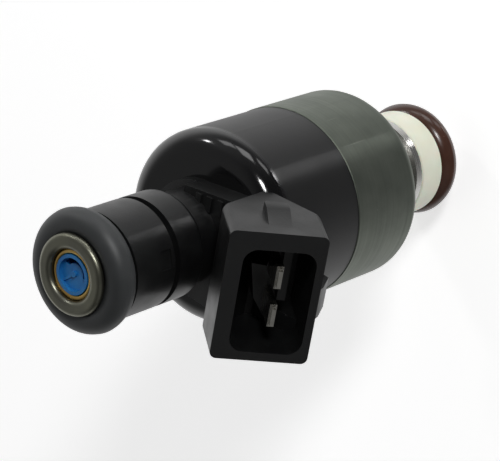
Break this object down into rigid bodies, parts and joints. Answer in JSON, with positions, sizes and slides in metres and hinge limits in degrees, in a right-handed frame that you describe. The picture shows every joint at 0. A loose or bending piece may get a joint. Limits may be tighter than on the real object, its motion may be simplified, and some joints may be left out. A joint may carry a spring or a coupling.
{
  "type": "fuel injector",
  "caption": "Top-feed solenoid fuel injector: filtered inlet neck with clip groove, leaning two-blade socket, steel solenoid can, and a ball valve over a spray plate.",
  "frame": {"origin": "on the injector's axis, in the flat end of the spray tip", "axes": "+Z runs along the axis to the inlet, -Y is the side the connector socket leans out on, +X is to the right when looking at the socket from the front"},
  "size_m": [0.0239, 0.0317, 0.0684],
  "materials": {
    "plated_steel": "satin",
    "brass": "satin",
    "blue_nylon": "satin",
    "screen_nylon": "matt",
    "black_rubber": "satin",
    "seal_rubber": "satin",
    "black_nylon": "matt",
    "gloss_nylon": "gloss",
    "tinned_brass": "satin",
    "housing_steel": "satin",
    "soft_iron": "satin",
    "bobbin_nylon": "matt",
    "copper_wire": "satin",
    "liner_steel": "satin",
    "stainless": "satin",
    "cream_nylon": "satin",
    "fluoro_rubber": "gloss",
    "spring_steel": "satin",
    "ball_steel": "polished"
  },
  "bodies": {
    "injector_body": {"inlet_tube": "plated_steel", "filter_ring": "brass", "filter_body": "blue_nylon", "filter_screen": "screen_nylon", "inlet_o_ring": "black_rubber", "connector_body": "black_nylon", "solenoid_cover": "gloss_nylon", "terminal_left": "tinned_brass", "terminal_right": "tinned_brass", "solenoid_housing": "housing_steel", "flux_washer": "soft_iron", "coil_bobbin": "bobbin_nylon", "coil_winding": "copper_wire", "upper_coil_seal": "seal_rubber", "lower_coil_seal": "seal_rubber", "core_liner": "liner_steel", "nozzle_body": "stainless", "outlet_spacer": "cream_nylon", "outlet_o_ring": "fluoro_rubber", "valve_seat": "stainless", "ball_guide": "stainless", "director_plate": "stainless", "spray_tip": "stainless", "spring_sleeve": "liner_steel", "core_spring": "spring_steel"},
    "core": {"core": "soft_iron", "valve_ball": "ball_steel"}
  },
  "joints": [
    {"name": "core_lift", "type": "slide", "parent": "injector_body", "child": "core", "axis": [0, 0, 1], "range_m": [0, 0.0001], "stiffness_N_per_m": 8000, "springref_m": -0.003, "deforming": ["core_spring"]}
  ]
}
